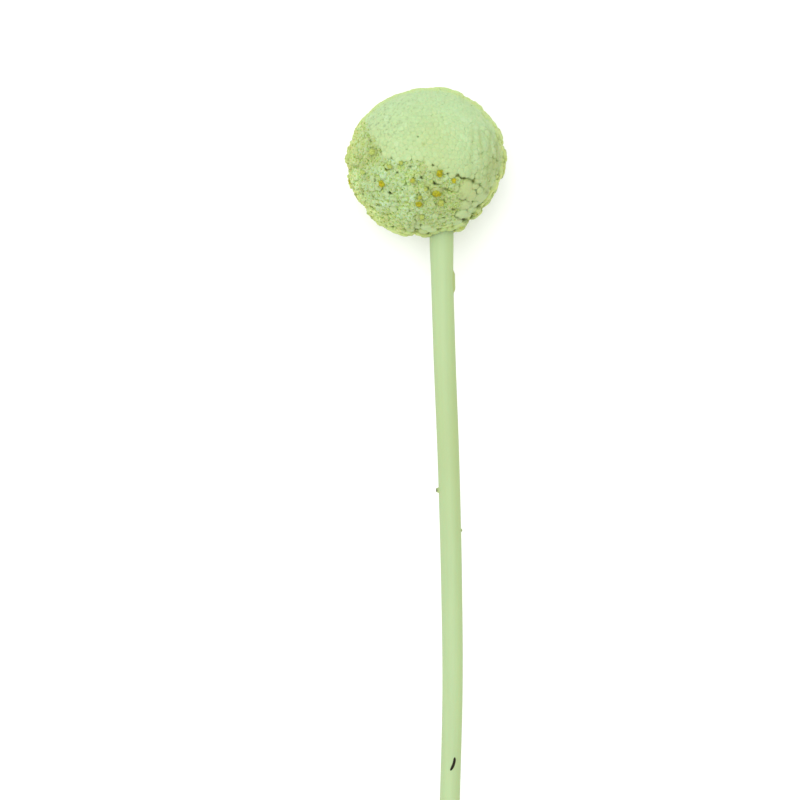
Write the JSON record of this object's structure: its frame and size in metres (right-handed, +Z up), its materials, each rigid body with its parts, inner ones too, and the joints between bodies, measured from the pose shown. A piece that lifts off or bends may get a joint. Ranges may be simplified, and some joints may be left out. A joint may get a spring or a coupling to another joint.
{
  "type": "billy buttons stem",
  "caption": "Cut and dried billy button flower lying on its side: a globe of tightly packed florets on a long bare stalk.",
  "frame": {"origin": "on the surface that the flower lies on, in the middle of the small flat under the flower head", "axes": "+X from the cut end of the stalk to the crown of the head, +Z up, +Y to the side"},
  "size_m": [0.3005, 0.0297, 0.0293],
  "materials": {
    "florets": "matte",
    "stalk": "satin"
  },
  "bodies": {
    "root": {"head": "florets", "stem": "stalk"}
  },
  "joints": []
}
